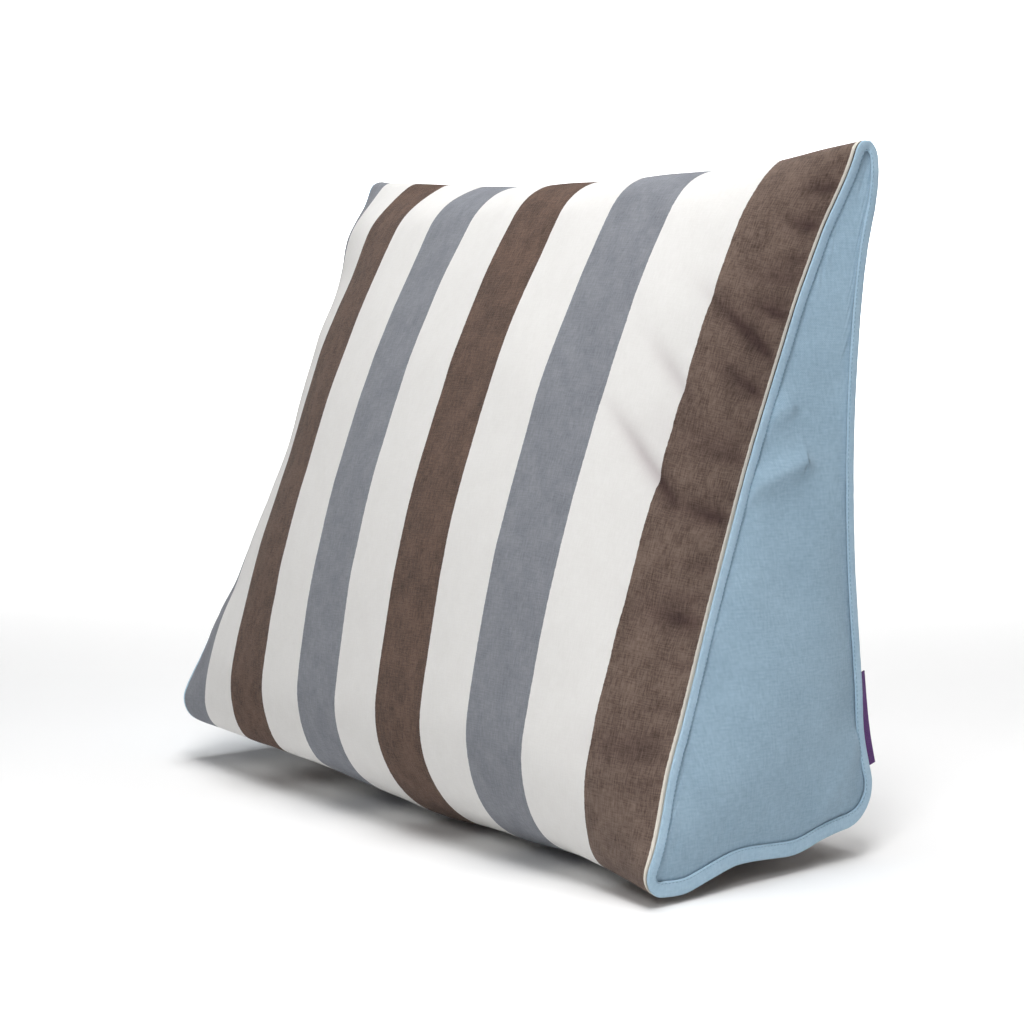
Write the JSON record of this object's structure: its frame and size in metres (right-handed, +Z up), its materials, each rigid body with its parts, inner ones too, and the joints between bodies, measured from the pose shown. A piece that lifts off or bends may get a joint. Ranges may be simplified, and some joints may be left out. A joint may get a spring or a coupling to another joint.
{
  "type": "reading pillow",
  "caption": "Wedge shaped filled reading pillow: striped cloth wrap, plain triangular side panels, raised welts round the panels and a small bare label in the back seam.",
  "frame": {"origin": "middle of the bounding box, on the flat base that the pillow rests on", "axes": "+X along the ridge to the end that carries the label, +Y from the sloping front to the upright back, +Z up"},
  "size_m": [0.618, 0.2538, 0.521],
  "materials": {
    "striped_cloth": "matte woven stripes in brown, grey and off white",
    "panel_cloth": "matte plain weave, light blue",
    "welt_cloth": "matte plain weave, light blue",
    "label_ribbon": "smooth purple ribbon, bare"
  },
  "bodies": {
    "root": {"cushion_body": "striped_cloth", "side_panel_right": "panel_cloth", "side_panel_left": "panel_cloth", "piping_right": "welt_cloth", "piping_left": "welt_cloth", "label": "label_ribbon"}
  },
  "joints": []
}
